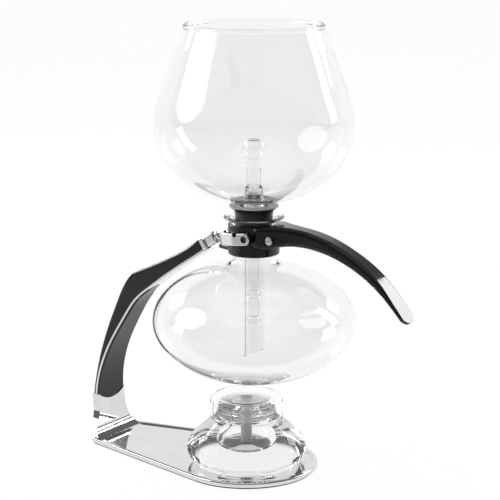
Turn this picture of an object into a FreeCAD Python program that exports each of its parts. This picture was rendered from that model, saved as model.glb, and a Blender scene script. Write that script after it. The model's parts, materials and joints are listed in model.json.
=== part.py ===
"""Glass vacuum coffee brewer on a chromed stand, with a spirit burner.

Millimetres. The origin is where the brewing axis meets the table, +X runs towards the
decanter handle, +Z is up, and the stand's arm is on the -X side.
"""
import FreeCAD, Part
import math
import os

V = FreeCAD.Vector
UP = V(0, 0, 1)

# Clearances
RUNNING = 0.05          # radial gap of a pin that turns in its hole
LOOSE = 0.3             # gap between glass or rubber faces of pieces that come apart
SEATED = 0.1            # gap between pieces that are screwed or pushed together

# Stand: plate, pad and heel
BURNER_X = -7.0         # the round end of the plate is centred under the burner
PLATE_R = 56.5
PLATE_TAPER = 12.3      # half angle of the plate's straight sides, degrees
PLATE_END_X = -146.0
PAD_T = 1.5
PLATE_TOP = 4.0
RIM_TOP = 5.2
RIM_W = 4.2
HEEL_TOP = 44.0         # before the rounded joint with the grip is cut
HEEL_JOINT_Z = (38.5, 33.0)     # joint between heel and grip, at its sides and in its middle
HEEL_SLOT_Z = 24.0
HEEL_PIN_Y = 3.2
HEEL_PIN_Z = 29.5
HEEL_PIN_R = 1.5
HEEL_PIN_END_X = -144.5     # the pins are driven from behind and stop short of the inner face

# Arm: grip, core and the joint to the fork
ARM_PITCH = 33.0        # upper arm's angle above the table, degrees
GRIP_END = V(-45.2, 0, 175.6)
COVER_T = 2.2           # inner cover
STRIP_T = 1.7           # chromed strip between the covers, bare under the upper arm
STRIP_INSET = 0.2       # its sides lie this far inside the covers' sides
TONGUE = (0.50, 0.68)   # where the inner cover narrows and ends, as shares of its curve
FOOT_HALF_W = 6.0
GRIP_EDGE_R = 3.0       # rounding of the outer cover's long edges
GRIP_SCREW_R = 1.5
GRIP_SCREWS = (0.13, 0.47, 0.80)    # their places as shares of the inner curve
CORE_ROD_R = 3.0
CORE_ROD_IN = -15.5     # the rod and its web reach this far into the grip

# Fork, studs and collar
FORK_T = 3.0
FORK_H = 9.4
FORK_PITCH = 7.0
FORK_IN_R = 21.0
FORK_BEND_X = -3.0
STUD = V(6.5, 0, 188.9)
STUD_R = 2.5
STUD_TIP = 22.4
SLOT_DEPTH = 1.65
RELEASE_PITCH = 18.0    # the studs slide out of the fork along this slope, degrees
COLLAR_R = 20.0
COLLAR_IN_R = 18.0
COLLAR_Z = (173.6, 197.5)
COLLAR_SPLIT_X = 11.0
NOSE_Z = (174.9, 177.3)
HANDLE_STATIONS = 9
HANDLE_TIP = (138.4, 137.9)
HANDLE_TIP_R = 8.6
HANDLE_EDGE_R = 3.6
SCREW = V(22.6, 0, 188.0)

# Decanter glass
BOWL_A = 78.9
BOWL_B = 47.1
BOWL_Z = 120.0
NECK_R = 17.2
LIP_R = 23.4
LIP_Z = 203.2
FLARE_Z = 195.0
NECK_FOOT_Z = 172.5     # the neck is a straight tube above this
GLASS_T = 2.0

# Funnel glass, bung and filter rod
FUNNEL_R = 76.1
FUNNEL_WIDE_Z = 271.0
FUNNEL_DEPTH = 58.0
FUNNEL_ARC_R = 74.0
FUNNEL_CONE = 19.7      # half angle of the upper cone, degrees
RIM_Z = 350.0
STEM_R = 8.0
STEM_END_Z = 89.0
STEM_T = 1.6
STEM_TOP_Z = 205.0
BUNG_Z = (183.0, 211.4)
BUNG_WAIST_Z = 202.0
BUNG_LIP_R = 19.1

# Burner
BOTTLE_Z = PLATE_TOP + 0.2
BOTTLE_R = 47.3
MOUTH_R = 10.5
MOUTH_Z = 52.5
WELL_Z = 13.5
CAP_R = 28.7
CAP_Z = (40.9, 58.5)


# ---------------------------------------------------------------- helpers

def xz(x, z):
    return V(x, 0, z)


def line(a, b):
    return Part.LineSegment(a, b).toShape()


def arc(a, middle, b):
    return Part.Arc(a, middle, b).toShape()


def bezier(*poles):
    curve = Part.BezierCurve()
    curve.setPoles(list(poles))
    return curve.toShape()


def spline(points, start=None, end=None):
    curve = Part.BSplineCurve()
    if start is None:
        curve.interpolate(points)
    else:
        curve.interpolate(Points=points, InitialTangent=start, FinalTangent=end)
    return curve


def path(points, radii):
    """Edges of a polyline whose inner corners are rounded by the given radii."""
    edges = []
    last = points[0]
    for before, corner, after, radius in zip(points, points[1:], points[2:], radii):
        to_start = (before - corner).normalize()
        to_end = (after - corner).normalize()
        half = to_start.getAngle(to_end) / 2
        reach = radius / math.tan(half)
        bisector = (to_start + to_end).normalize()
        centre = corner + bisector * (radius / math.sin(half))
        start = corner + to_start * reach
        end = corner + to_end * reach
        if (start - last).Length > 1e-6:
            edges.append(line(last, start))
        edges.append(arc(start, centre - bisector * radius, end))
        last = end
    edges.append(line(last, points[-1]))
    return edges


def face(edges):
    return Part.Face(Part.Wire(Part.__sortEdges__(edges)))


def polygon(points):
    return Part.Face(Part.makePolygon(points + [points[0]]))


def lathe(edges, x=0.0):
    """Solid of revolution about the vertical line at x, from a profile drawn about x = 0."""
    solid = face(edges).revolve(V(0, 0, 0), UP, 360)
    solid.translate(V(x, 0, 0))
    return solid


def across(outline, half_width):
    """Extrudes an XZ face to both sides along Y."""
    moved = outline.copy()
    moved.translate(V(0, -half_width, 0))
    return moved.extrude(V(0, 2 * half_width, 0))


def rod(radius, start, end):
    return Part.makeCylinder(radius, (end - start).Length, start, end - start)


def box(low, high):
    return Part.makeBox(high[0] - low[0], high[1] - low[1], high[2] - low[2], V(*low))


def mirrored_pair(shape):
    return [shape, shape.mirror(V(0, 0, 0), V(0, 1, 0))]


def ellipse_arc(a, b, z, r_from, r_to, upper):
    """Quarter of an ellipse about the axis, between two radii, above or below its centre."""
    ellipse = Part.Ellipse(V(a, 0, z), V(0, 0, z + b), V(0, 0, z))
    angles = sorted(math.acos(min(1.0, r / a)) * (1 if upper else -1) for r in (r_from, r_to))
    return Part.ArcOfEllipse(ellipse, angles[0], angles[1]).toBSpline().toShape()


def ellipse_z(a, b, z, r, upper):
    rise = b * math.sqrt(1 - (r / a) ** 2)
    return z + rise if upper else z - rise


def ring(inner, outer, low, high):
    return Part.makeCylinder(outer, high - low, V(0, 0, low)).cut(
        Part.makeCylinder(inner, high - low, V(0, 0, low)))


def softened(shape, radius, wanted):
    """Rounds the edges for which wanted(edge) is true."""
    edges = [edge for edge in shape.Edges if wanted(edge)]
    return shape.makeFillet(radius, edges)


def rounded_section(high, low, half_width, corner):
    """Wire of a rounded oblong that spans from low to high in the XZ plane and across Y."""
    across_y = V(0, half_width, 0)
    corners = [high - across_y, high + across_y, low + across_y, low - across_y]
    start = (high + low) / 2 - across_y
    loop = [start] + corners + [start]
    return Part.Wire(path(loop, [min(corner, HANDLE_EDGE_R)] * 4))


def export(name, shapes):
    shape = shapes if isinstance(shapes, Part.Shape) else Part.makeCompound(shapes)
    shape.exportStep("parts/" + name + ".step")
    print(name, "valid", shape.isValid(), "cm3", round(shape.Volume / 1000, 2))


# ---------------------------------------------------------------- stand

def teardrop(inset, z):
    """Outline of the plate at height z, moved inwards by inset."""
    radius = PLATE_R - inset
    taper = math.radians(PLATE_TAPER)
    side = V(BURNER_X - radius * math.sin(taper), radius * math.cos(taper), z)
    end_x = PLATE_END_X + inset
    corner = V(end_x, side.y - (side.x - end_x) * math.tan(taper), z)
    mirror = [V(p.x, -p.y, p.z) for p in (side, corner)]
    corner_r = 8.0 - inset * 0.5
    edges = path([mirror[0], mirror[1], corner, side], [corner_r, corner_r])
    edges.append(arc(side, V(BURNER_X + radius, 0, z), mirror[0]))
    return Part.Face(Part.Wire(edges))


def heel():
    """The end of the plate, bent up and narrowed to carry the arm."""
    outside = [xz(-146.0, PAD_T), xz(-147.2, 11), xz(-151.4, HEEL_TOP)]
    inside = [xz(-143.0, HEEL_TOP), xz(-141.2, PLATE_TOP), xz(-126, PLATE_TOP)]
    side = face(path([xz(-126, PAD_T), outside[0], outside[1], outside[2], inside[0],
                      inside[1], inside[2]], [3.0, 12.0, 0.8, 0.8, 10.0])
                + [line(inside[2], xz(-126, PAD_T))])
    high, low = HEEL_JOINT_Z
    flare = [V(-160, 29.0, 0), V(-160, 23.5, 9.5), V(-160, 18.2, 20), V(-160, 16.2, high)]
    left = spline(flare, V(0, -0.4, 1), V(0, 0, 1)).toShape()
    right = left.mirror(V(0, 0, 0), V(0, 1, 0))
    front = face([left, right, line(flare[0], V(-160, -29.0, 0)),
                  arc(flare[-1], V(-160, 0, low), V(-160, -16.2, high))])
    return across(side, 40).common(front.extrude(V(40, 0, 0)))


def stand_base():
    plate = teardrop(0, PAD_T).extrude(V(0, 0, RIM_TOP - PAD_T))
    plate = softened(plate, 1.6, lambda e: min(v.Z for v in e.Vertexes) > RIM_TOP - 0.1)
    tray = teardrop(RIM_W, PLATE_TOP).extrude(V(0, 0, 5))
    plate = plate.cut(tray)
    plate = softened(plate, 0.8, lambda e: all(abs(v.Z - RIM_TOP) < 0.01 for v in e.Vertexes)
                     and e.CenterOfMass.x < 60)
    base = plate.fuse(heel()).removeSplitter()
    slot = box((-149.0, -FOOT_HALF_W - SEATED, HEEL_SLOT_Z), (-145.8, FOOT_HALF_W + SEATED, HEEL_TOP))
    for y in (-HEEL_PIN_Y, HEEL_PIN_Y):
        base = base.cut(rod(HEEL_PIN_R, V(-160, y, HEEL_PIN_Z), V(HEEL_PIN_END_X, y, HEEL_PIN_Z)))
    return base.cut(slot)


def base_pad():
    return teardrop(1.6, 0).extrude(V(0, 0, PAD_T))


def heel_pins():
    return [rod(HEEL_PIN_R - RUNNING, V(-149.4, y, HEEL_PIN_Z), V(HEEL_PIN_END_X - SEATED, y, HEEL_PIN_Z))
            for y in (-HEEL_PIN_Y, HEEL_PIN_Y)]


# ---------------------------------------------------------------- arm

ARM_DIR = V(math.cos(math.radians(ARM_PITCH)), 0, math.sin(math.radians(ARM_PITCH)))
ARM_NORMAL = V(-ARM_DIR.z, 0, ARM_DIR.x)

GRIP_INNER = spline([xz(-143.2, 31), xz(-141.2, 57), xz(-134.8, 76), xz(-117.5, 107), xz(-106, 123.5),
                     xz(-95, 134), xz(-67, 154.6), GRIP_END - ARM_NORMAL * 5.5])
GRIP_OUTER = spline([xz(-150.6, 31), xz(-148.3, 56), xz(-144, 78), xz(-138.3, 97), xz(-130.5, 117),
                     xz(-121.5, 135.5), xz(-114.5, 143.5), xz(-104, 149), xz(-78.5, 161),
                     GRIP_END + ARM_NORMAL * 5.4])


def along_arm(distance, lift=0.0, y=0.0):
    """Point on the upper arm's axis, measured from the end of the grip."""
    return GRIP_END + ARM_DIR * distance + ARM_NORMAL * lift + V(0, y, 0)


def inside_inner(depth):
    """The inner outline moved into the grip by depth(share), where share runs from 0 to 1 up the grip."""
    samples = 28
    first, last = GRIP_INNER.FirstParameter, GRIP_INNER.LastParameter
    points = []
    for i in range(samples + 1):
        share = i / samples
        u = first + (last - first) * share
        tangent = V(*GRIP_INNER.tangent(u)[0])
        points.append(GRIP_INNER.value(u) + V(-tangent.z, 0, tangent.x) * depth(share))
    return spline(points)


def strip_line(lift):
    """Outline at a height above the strip's inner face, which dips to the surface past the inner cover."""
    def depth(share):
        fade = min(1.0, max(0.0, (TONGUE[1] - share) / (TONGUE[1] - TONGUE[0])))
        return lift + COVER_T * fade * fade * (3 - 2 * fade)
    return inside_inner(depth)


def band(lower, upper):
    """XZ face between two long curves that run side by side."""
    a, b = lower.toShape(), upper.toShape()
    ends = [(c.value(c.FirstParameter), c.value(c.LastParameter)) for c in (lower, upper)]
    return face([a, line(ends[0][1], ends[1][1]), b, line(ends[1][0], ends[0][0])])


def grip_width(inset=0.0):
    """Front outline of the grip: wide and round at the heel, slim at the fork."""
    high, low = (z + SEATED for z in HEEL_JOINT_Z)
    widths = [(16.2, high), (13.6, 66), (9.6, 110), (8.2, 140), (7.4, 190)]
    side = [V(-170, width - inset, z) for width, z in widths]
    left = spline(side).toShape()
    right = left.mirror(V(0, 0, 0), V(0, 1, 0))
    low_left, low_right = side[0], V(-170, -side[0].y, side[0].z)
    foot = arc(low_left, V(-170, 0, low), low_right)
    top = line(side[-1], V(-170, -side[-1].y, side[-1].z))
    return face([left, foot, right, top]).extrude(V(150, 0, 0))


def tongue_outline():
    """Front outline that narrows the inner cover to a rounded end."""
    start, end = (GRIP_INNER.value(GRIP_INNER.FirstParameter + share
                  * (GRIP_INNER.LastParameter - GRIP_INNER.FirstParameter)).z for share in TONGUE)
    side = bezier(V(-170, 20, start), V(-170, 6.5, start + 3), V(-170, 6.0, end - 1), V(-170, 0, end - 1.5))
    edges = [line(V(-170, 20, 20), V(-170, 20, start)), side.copy(),
             side.mirror(V(0, 0, 0), V(0, 1, 0)), line(V(-170, -20, start), V(-170, -20, 20)),
             line(V(-170, -20, 20), V(-170, 20, 20))]
    return face(edges).extrude(V(150, 0, 0))


def core_space(gap):
    """The space inside the outer cover for the strip's foot and for the rod that leaves the arm."""
    foot = box((-148.9 - gap, -FOOT_HALF_W - gap, 30), (-145.9 + gap, FOOT_HALF_W + gap, 48 + gap))
    start = CORE_ROD_IN - gap
    web = across(polygon([along_arm(start, -6), along_arm(1, -6), along_arm(1, 0), along_arm(start, 0)]),
                 2.0 + gap)
    return foot.fuse(web).fuse(rod(CORE_ROD_R + gap, along_arm(start), along_arm(0.5)))


def grip_screw_places():
    """Places and inward directions of the three screws that hold the grip's cover."""
    places = []
    for share in GRIP_SCREWS:
        u = GRIP_INNER.FirstParameter + (GRIP_INNER.LastParameter - GRIP_INNER.FirstParameter) * share
        tangent = V(*GRIP_INNER.tangent(u)[0])
        places.append((GRIP_INNER.value(u), V(-tangent.z, 0, tangent.x)))
    return places


def grip_outer():
    body = across(band(strip_line(STRIP_T + SEATED), GRIP_OUTER), 30).common(grip_width())
    outer = GRIP_OUTER.toShape()
    inner = strip_line(STRIP_T + SEATED).toShape()

    def runs_along(edge, curve):
        middle = edge.valueAt((edge.FirstParameter + edge.LastParameter) / 2)
        flat = Part.Vertex(V(middle.x, 0, middle.z))
        return abs(middle.y) > 5 and edge.Length > 60 and flat.distToShape(curve)[0] < 0.05

    body = softened(body, GRIP_EDGE_R, lambda e: runs_along(e, outer))
    body = softened(body, GRIP_EDGE_R / 3, lambda e: runs_along(e, inner))
    body = body.cut(core_space(SEATED))
    for place, outward in grip_screw_places():
        body = body.cut(rod(GRIP_SCREW_R + SEATED, place, place + outward * 40))
        body = body.cut(rod(3.0, place + outward * screw_seat(place, outward), place + outward * 40))
    return body


def screw_seat(place, outward):
    """Distance from the inner outline to the bottom of a screw's recess."""
    through = rod(0.2, place, place + outward * 40).common(across(band(GRIP_INNER, GRIP_OUTER), 1))
    return through.Volume / (math.pi * 0.04) - 1.35


def grip_inner():
    cover = across(band(GRIP_INNER, inside_inner(lambda share: COVER_T)), 30).common(grip_width())
    cover = cover.cut(across(band(strip_line(-SEATED), strip_line(8)), 30)).common(tongue_outline())
    for place, outward in grip_screw_places():
        cover = cover.cut(rod(GRIP_SCREW_R + SEATED, place + outward * 0.7, place + outward * 5))
    return max(cover.Solids, key=lambda solid: solid.Volume)


def grip_screws():
    screws = []
    for place, outward in grip_screw_places():
        seat = screw_seat(place, outward)
        shank = rod(GRIP_SCREW_R, place + outward * 0.9, place + outward * seat)
        head = rod(2.8, place + outward * seat, place + outward * (seat + 1.0))
        cross = rod(0.6, place + outward * (seat + 0.6), place + outward * (seat + 3))
        screws.append(shank.fuse(head).cut(cross))
    return screws


def arm_core():
    strip = across(band(strip_line(0), strip_line(STRIP_T)), 30).common(grip_width(STRIP_INSET))
    foot = box((-148.9, -FOOT_HALF_W, HEEL_SLOT_Z + 0.2), (-145.9, FOOT_HALF_W, 48))
    start = CORE_ROD_IN
    web = across(polygon([along_arm(start, -5), along_arm(-1, -5), along_arm(-1, 0), along_arm(start, 0)]),
                 2.0)
    core = strip.fuse(foot).fuse(web).fuse(rod(CORE_ROD_R, along_arm(start), along_arm(11)))
    core = core.removeSplitter()
    for place, outward in grip_screw_places():
        core = core.cut(rod(GRIP_SCREW_R + SEATED, place, place + outward * 30))
    for y in (-HEEL_PIN_Y, HEEL_PIN_Y):
        core = core.cut(rod(HEEL_PIN_R, V(-160, y, HEEL_PIN_Z), V(-140, y, HEEL_PIN_Z)))
    return core.cut(rod(1.55, along_arm(3), along_arm(12)))


def arm_section(start, end, half_width, half_height, corner):
    """A rounded bar along the upper arm's axis."""
    corners = [along_arm(start, h, w) for w, h in ((-half_width, -half_height), (half_width, -half_height),
                                                   (half_width, half_height), (-half_width, half_height))]
    block = polygon(corners).extrude(ARM_DIR * (end - start))
    return softened(block, corner, lambda e: abs(e.tangentAt(e.FirstParameter).dot(ARM_DIR)) > 0.99)


def arm_ferrule():
    band_ring = arm_section(0.05, 3.8, 7.8, 5.8, 2.2)
    band_ring = softened(band_ring, 0.5, lambda e: abs(e.tangentAt(e.FirstParameter).dot(ARM_DIR)) < 0.5)
    return band_ring.cut(rod(CORE_ROD_R + SEATED, along_arm(-1), along_arm(8)))


def joint_block():
    neck = arm_section(3.85, 5.4, 5.6, 4.0, 1.5)
    block = arm_section(5.2, 14.0, 6.4, 5.0, 2.4)
    block = softened(block, 1.4, lambda e: abs(e.tangentAt(e.FirstParameter).dot(ARM_DIR)) < 0.5
                     and e.CenterOfMass.sub(GRIP_END).dot(ARM_DIR) > 10)
    boss = rod(3.6, along_arm(13.5), along_arm(15.2))
    block = neck.fuse(block).fuse(boss).removeSplitter()
    block = block.cut(rod(CORE_ROD_R + SEATED, along_arm(3), along_arm(11.2)))
    return block.cut(rod(1.6, along_arm(10), along_arm(16)))


def yoke_washer():
    return rod(5.4, along_arm(15.25), along_arm(16.75)).cut(rod(1.7, along_arm(15), along_arm(17)))


def yoke_screw():
    shank = rod(1.5, along_arm(5.5), along_arm(23.4))
    head = rod(2.7, along_arm(23.4), along_arm(24.6))
    drive = rod(1.2, along_arm(24.0), along_arm(26))
    return shank.fuse(head).cut(rod(1.25, along_arm(3), along_arm(5.6))).cut(drive)


# ---------------------------------------------------------------- fork and studs

def fork_band():
    """U of flat strip bent round the collar, with rounded ends about the studs."""
    low, high = STUD.z - FORK_H / 2, STUD.z + FORK_H / 2
    bend = V(FORK_BEND_X, 0, low)

    def u_shape(radius):
        bow = Part.makeCylinder(radius, FORK_H, bend)
        return bow.fuse(box((FORK_BEND_X, -radius, low), (STUD.x, radius, high)))

    ends = rod(FORK_H / 2, V(STUD.x, -30, STUD.z), V(STUD.x, 30, STUD.z))
    ends = ends.cut(box((-60, -FORK_IN_R, low - 1), (60, FORK_IN_R, high + 1)))
    ends = ends.common(box((-60, -FORK_IN_R - FORK_T, low - 1), (60, FORK_IN_R + FORK_T, high + 1)))
    inner = u_shape(FORK_IN_R).fuse(box((0, -FORK_IN_R, low - 1), (40, FORK_IN_R, high + 1)))
    strip = u_shape(FORK_IN_R + FORK_T).cut(inner)
    return strip.fuse(ends).removeSplitter()


def yoke():
    strip = fork_band()
    notch = rod(1.9, V(-1.6, -30, STUD.z + FORK_H / 2 - 1.0), V(-1.6, 30, STUD.z + FORK_H / 2 - 1.0))
    notch = notch.fuse(box((-3.5, -30, STUD.z + FORK_H / 2 - 1), (0.3, 30, STUD.z + FORK_H)))
    strip = strip.cut(notch.cut(box((-40, -18, 0), (40, 18, 300))))
    strip = softened(strip, 0.7, lambda e: e.Length > 20)
    strip.rotate(STUD, V(0, 1, 0), -FORK_PITCH)
    boss = rod(4.2, along_arm(16.8), along_arm(24))
    room = Part.makeCylinder(FORK_IN_R, 60, V(FORK_BEND_X, 0, 150))
    strip = strip.fuse(boss.cut(room)).removeSplitter()
    way_out = V(math.cos(math.radians(RELEASE_PITCH)), 0, math.sin(math.radians(RELEASE_PITCH)))
    across_way = V(-way_out.z, 0, way_out.x) * (STUD_R + SEATED)
    for side in (-1, 1):
        floor = V(0, side * (FORK_IN_R + SLOT_DEPTH), 0)
        inward = V(0, -side * (SLOT_DEPTH + 1), 0)
        start = STUD + floor
        slot = polygon([start - across_way, start - across_way + way_out * 20,
                        start + across_way + way_out * 20, start + across_way]).extrude(inward)
        strip = strip.cut(slot.fuse(rod(STUD_R + SEATED, start, start + inward)))
        strip = strip.cut(rod(STUD_R + 0.2, STUD, STUD + V(0, side * 30, 0)))
    strip = strip.cut(rod(1.7, along_arm(15), along_arm(26)))
    return strip.cut(rod(2.9, along_arm(23.3), along_arm(30)))


def trunnion_studs():
    stud = rod(STUD_R, STUD + V(0, 18.1, 0), STUD + V(0, STUD_TIP, 0))
    stud = softened(stud, 0.4, lambda e: e.CenterOfMass.y > STUD_TIP - 0.1 and e.Length > 10)
    return mirrored_pair(stud)


# ---------------------------------------------------------------- decanter

def neck_profile(offset, neck_r, top):
    """Edges from the bowl's widest circle up into the neck, for a shell face at an inward offset."""
    a, b = BOWL_A - offset, BOWL_B - offset
    r = 25.0
    z = ellipse_z(a, b, BOWL_Z, r, True)
    slope = (b / a) ** 2 * r / (z - BOWL_Z)
    bend = xz(neck_r, z + slope * (r - neck_r))
    shoulder = bezier(xz(r, z), bend, xz(neck_r, bend.z + 6))
    return [ellipse_arc(a, b, BOWL_Z, a, r, True), shoulder, line(xz(neck_r, bend.z + 6), xz(neck_r, top))]


def bung_r(z):
    """Radius of the bung's tapered plug."""
    return 13.9 + (z - BUNG_Z[0]) * 0.035


THROAT_R = bung_r(BUNG_Z[0]) + LOOSE


def bowl_base():
    """Lower half of the blown vessel; the three vessel nodes meet face to face."""
    a, b = BOWL_A - GLASS_T, BOWL_B - GLASS_T
    return lathe([ellipse_arc(BOWL_A, BOWL_B, BOWL_Z, 0, BOWL_A, False),
                  ellipse_arc(a, b, BOWL_Z, 0, a, False),
                  line(xz(0, BOWL_Z - BOWL_B), xz(0, BOWL_Z - b)),
                  line(xz(a, BOWL_Z), xz(BOWL_A, BOWL_Z))])


def bowl_shoulder():
    """The vessel from its widest circle up to the foot of the neck."""
    outer = neck_profile(0, NECK_R, NECK_FOOT_Z)
    inner = neck_profile(GLASS_T, THROAT_R, NECK_FOOT_Z)
    return lathe(outer + inner + [line(xz(BOWL_A - GLASS_T, BOWL_Z), xz(BOWL_A, BOWL_Z)),
                                  line(xz(THROAT_R, NECK_FOOT_Z), xz(NECK_R, NECK_FOOT_Z))])


def bowl_neck():
    """The vessel's neck and flared pouring lip."""
    upper_throat = xz(bung_r(200) + LOOSE, 200)
    edge_x, edge_r = LIP_R - 0.9, 0.9
    return lathe([line(xz(NECK_R, NECK_FOOT_Z), xz(NECK_R, FLARE_Z)),
                  bezier(xz(NECK_R, FLARE_Z), xz(NECK_R, LIP_Z - 2.4), xz(edge_x, LIP_Z - 2 * edge_r)),
                  arc(xz(edge_x, LIP_Z - 2 * edge_r), xz(LIP_R, LIP_Z - edge_r), xz(edge_x, LIP_Z)),
                  bezier(xz(edge_x, LIP_Z), xz(upper_throat.x + 1.2, LIP_Z - 0.2), upper_throat),
                  line(upper_throat, xz(THROAT_R, BUNG_Z[0])),
                  line(xz(THROAT_R, BUNG_Z[0]), xz(THROAT_R, NECK_FOOT_Z)),
                  line(xz(THROAT_R, NECK_FOOT_Z), xz(NECK_R, NECK_FOOT_Z))])


def collar_liner():
    return ring(NECK_R + 0.05, COLLAR_IN_R - 0.05, COLLAR_Z[0] + 2.5, 194.0)


def collar_ring():
    outline = path([xz(COLLAR_IN_R, 184), xz(COLLAR_IN_R, COLLAR_Z[0]), xz(COLLAR_R, COLLAR_Z[0]),
                    xz(COLLAR_R, COLLAR_Z[1]), xz(COLLAR_IN_R, COLLAR_Z[1]), xz(COLLAR_IN_R, 184)],
                   [0.4, 1.2, 0.9, 0.4])
    return lathe(outline)


def clamp_tab(gap):
    """One tab of the collar half, which passes inside the handle's half ring to the clamp screw."""
    low, high = SCREW.z - 3.8 - gap, SCREW.z + 3.8 + gap
    wrap = ring(COLLAR_IN_R - gap, COLLAR_IN_R + 1.1 + gap, low, high)
    wrap = wrap.common(box((COLLAR_SPLIT_X - 3, 10.0 - gap, low), (17.5, 30, high)))
    ear = box((15.0, 10.0 - gap, low), (27.0 + gap, 12.6 + gap, high))
    return wrap.fuse(ear)


def collar_half():
    half = collar_ring().common(box((-40, -40, 160), (COLLAR_SPLIT_X - 0.1, 40, 210)))
    for boss in mirrored_pair(rod(4.4, STUD + V(0, 15, 0), STUD + V(0, 20.6, 0))):
        half = half.fuse(boss.common(box((-40, -40, 160), (COLLAR_SPLIT_X - 0.1, 40, 210))))
    nose_plan = path([V(-15, -9.5, NOSE_Z[0]), V(-31.2, -3.5, NOSE_Z[0]), V(-31.2, 3.5, NOSE_Z[0]),
                      V(-15, 9.5, NOSE_Z[0])], [3.0, 3.0])
    nose = face(nose_plan + [line(V(-15, 9.5, NOSE_Z[0]), V(-15, -9.5, NOSE_Z[0]))])
    nose = nose.extrude(V(0, 0, NOSE_Z[1] - NOSE_Z[0]))
    ridge = ring(COLLAR_R - 0.5, COLLAR_R + 0.35, 193.6, 194.8)
    ridge = ridge.common(box((-40, -40, 160), (COLLAR_SPLIT_X - 0.1, 40, 210)))
    half = half.fuse(nose).fuse(ridge)
    for tab in mirrored_pair(clamp_tab(0)):
        half = half.fuse(tab)
    half = half.cut(Part.makeCylinder(COLLAR_IN_R, 60, V(0, 0, 160)))
    half = half.cut(rod(STUD_R + RUNNING, STUD + V(0, -30, 0), STUD + V(0, 30, 0)))
    return half.cut(rod(2.0, SCREW + V(0, -30, 0), SCREW + V(0, 30, 0))).removeSplitter()


def handle_tip_corners():
    """What is left of a block at the handle's tip outside its round end."""
    along = xz(0.642, -0.767)
    centre = xz(*HANDLE_TIP) - along * HANDLE_TIP_R
    normal = V(-along.z, 0, along.x)
    corners = [centre - normal * 9, centre + normal * 9, centre + normal * 9 + along * 12,
               centre - normal * 9 + along * 12]
    rounding = rod(HANDLE_TIP_R, centre - normal * 12, centre + normal * 12)
    return across(polygon(corners), 14).cut(rounding)


def handle():
    top = spline([xz(9, 197.3), xz(30, 198.6), xz(47, 197.4), xz(65, 194), xz(92, 182.8), xz(114, 167.8),
                  xz(130.5, 149.2), xz(139.6, 138.4)])
    under = spline([xz(9, 181.2), xz(30, 182.9), xz(45, 184.5), xz(56, 183.8), xz(71, 181), xz(97.5, 170.6),
                    xz(115, 159), xz(130.5, 144.6), xz(137.2, 137.4)])
    sections = []
    for i in range(HANDLE_STATIONS + 1):
        share = i / HANDLE_STATIONS
        high = top.value(top.FirstParameter + (top.LastParameter - top.FirstParameter) * share)
        low = under.value(under.FirstParameter + (under.LastParameter - under.FirstParameter) * share)
        swell = max(0.0, 1 - (high.x - 9) / 36)
        half_width = 8.5 + 8.0 * swell ** 2 * (3 - 2 * swell)
        sections.append(rounded_section(high, low, half_width, 0.36 * (high - low).Length))
    bar = Part.makeLoft(sections, True).cut(handle_tip_corners())
    half = collar_ring().common(box((COLLAR_SPLIT_X + 0.1, -40, 160), (40, 40, 210)))
    body = bar.common(box((COLLAR_SPLIT_X + 0.1, -40, 100), (200, 40, 210))).fuse(half)
    body = body.cut(Part.makeCylinder(COLLAR_IN_R, 60, V(0, 0, 160)))
    for pocket in mirrored_pair(clamp_tab(SEATED)):
        body = body.cut(pocket)
    body = body.cut(rod(1.8, SCREW + V(0, -30, 0), SCREW + V(0, 30, 0)))
    body = body.cut(rod(3.6, SCREW + V(0, -30, 0), SCREW + V(0, -13.0, 0)))
    return body.cut(rod(3.4, SCREW + V(0, 13.0, 0), SCREW + V(0, 30, 0))).removeSplitter()


def clamp_screw():
    shank = rod(1.7, SCREW + V(0, -13.2, 0), SCREW + V(0, 14.4, 0))
    head = rod(3.3, SCREW + V(0, -14.9, 0), SCREW + V(0, -13.05, 0))
    head = softened(head, 0.8, lambda e: e.CenterOfMass.y < -14.8 and e.Length > 10)
    slot = box((SCREW.x - 4, -15.2, SCREW.z - 0.4), (SCREW.x + 4, -14.2, SCREW.z + 0.4))
    return shank.fuse(head).cut(slot)


def clamp_nut():
    points = [SCREW + V(3.2 * math.cos(math.radians(60 * i)), 13.05, 3.2 * math.sin(math.radians(60 * i)))
              for i in range(6)]
    return polygon(points).extrude(V(0, 2.2, 0)).cut(rod(1.75, SCREW, SCREW + V(0, 30, 0)))


# ---------------------------------------------------------------- funnel and filter

def cone_wall(offset):
    """Edges of the funnel from the rim down to its widest circle, at an inward offset, and the rim point."""
    slant = math.radians(FUNNEL_CONE)
    radius = FUNNEL_ARC_R - offset
    widest = xz(FUNNEL_R - offset, FUNNEL_WIDE_Z)
    centre = widest - xz(radius, 0)
    join = centre + xz(math.cos(slant), math.sin(slant)) * radius
    middle = centre + xz(math.cos(slant / 2), math.sin(slant / 2)) * radius
    rim = join + xz(-math.tan(slant), 1) * (RIM_Z - 1.2 - join.z)
    return [line(rim, join), arc(join, middle, widest)], rim


def funnel_cone():
    """The funnel above its widest circle, with the beaded rim."""
    outer, rim_out = cone_wall(0)
    inner, rim_in = cone_wall(GLASS_T)
    crest = xz((rim_out.x + rim_in.x) / 2, RIM_Z)
    wall = lathe(outer + inner + [arc(rim_out, crest, rim_in), widest_edge()])
    return wall.fuse(Part.makeTorus(rim_out.x - 0.9, 1.9, V(0, 0, RIM_Z - 2.0)))


def widest_edge():
    return line(xz(FUNNEL_R - GLASS_T, FUNNEL_WIDE_Z), xz(FUNNEL_R, FUNNEL_WIDE_Z))


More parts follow.
